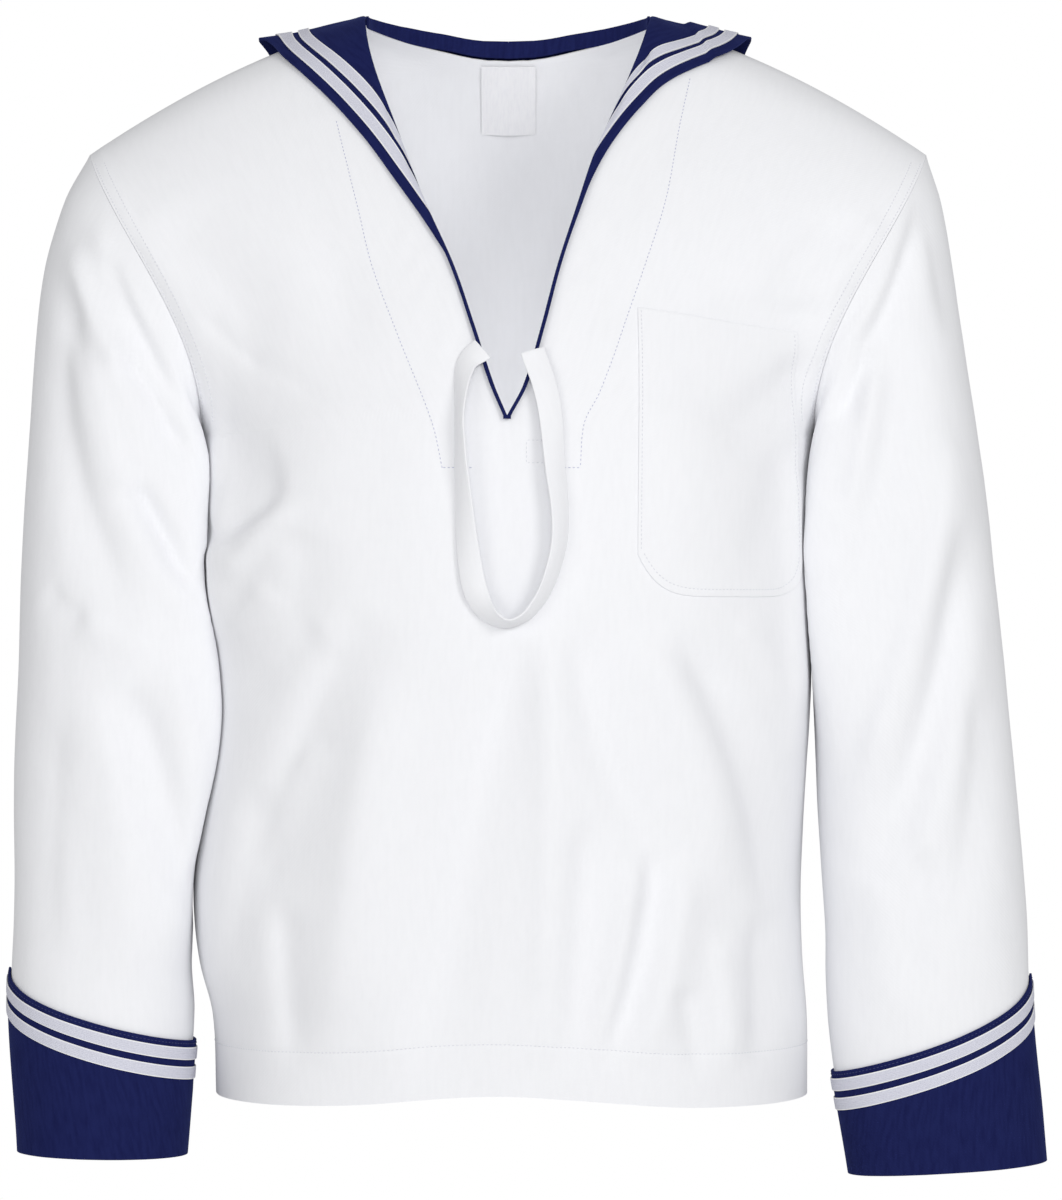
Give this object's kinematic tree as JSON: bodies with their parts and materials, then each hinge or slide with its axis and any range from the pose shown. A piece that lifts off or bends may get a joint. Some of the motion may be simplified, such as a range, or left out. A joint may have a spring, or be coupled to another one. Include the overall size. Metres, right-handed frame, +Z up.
{
  "type": "naval uniform shirt",
  "caption": "White long-sleeved pullover with a V neck, a square blue collar and blue cuffs edged with white tapes, a chest pocket and a neckerchief loop, in the shape it has when worn.",
  "frame": {"origin": "midway between the wearer's shoulders at the base of the neck, where the shirt is held up", "axes": "+Z up; the front of the shirt faces -Y; +X is the wearer's left"},
  "size_m": [0.6632, 0.2798, 0.7448],
  "materials": {
    "white_cloth": "matt white cotton twill",
    "blue_cloth": "deep blue cotton drill with a soft sheen",
    "white_tape": "ribbed white tape",
    "label_cloth": "smooth white label cloth, bare"
  },
  "bodies": {
    "root": {"front": "white_cloth", "back": "white_cloth", "sleeve_left": "white_cloth", "sleeve_right": "white_cloth", "cuff_left": "blue_cloth", "cuff_right": "blue_cloth", "cuff_tape_upper_left": "white_tape", "cuff_tape_lower_left": "white_tape", "cuff_tape_upper_right": "white_tape", "cuff_tape_lower_right": "white_tape", "collar": "blue_cloth", "collar_stand": "blue_cloth", "collar_tape_outer": "white_tape", "collar_tape_inner": "white_tape", "neckerchief_loop": "white_cloth", "chest_pocket": "white_cloth", "size_label": "label_cloth"}
  },
  "joints": []
}
